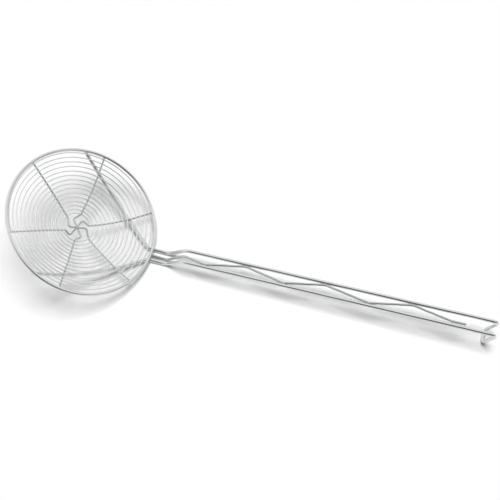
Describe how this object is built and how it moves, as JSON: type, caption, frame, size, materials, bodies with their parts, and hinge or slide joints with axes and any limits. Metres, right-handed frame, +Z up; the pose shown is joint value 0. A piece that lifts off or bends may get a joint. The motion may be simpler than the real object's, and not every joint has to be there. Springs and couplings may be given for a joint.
{
  "type": "spider skimmer",
  "caption": "Wire spider skimmer: shallow spiral basket in a round rim, on a long handle of two parallel wires with a zigzag brace, its end folded into a hook.",
  "frame": {"origin": "centre of the bounding box's bottom face, on the surface that the skimmer lies on", "axes": "+X along the handle, from the basket to the hook; +Y across the handle; +Z up, with the basket's mouth facing up and towards the handle"},
  "size_m": [0.5124, 0.1634, 0.0781],
  "materials": {
    "rim_wire": "bright polished stainless steel wire",
    "frame_wire": "bright polished stainless steel wire",
    "brace_wire": "bright drawn stainless steel wire",
    "spoke_wire": "bright drawn stainless steel wire",
    "coil_wire": "bright drawn stainless steel wire"
  },
  "bodies": {
    "root": {"rim_ring": "rim_wire", "handle_frame_left": "frame_wire", "handle_frame_right": "frame_wire", "brace_wire": "brace_wire", "spoke_wire_1": "spoke_wire", "spoke_wire_2": "spoke_wire", "spoke_wire_3": "spoke_wire", "coil_wire": "coil_wire"}
  },
  "joints": []
}
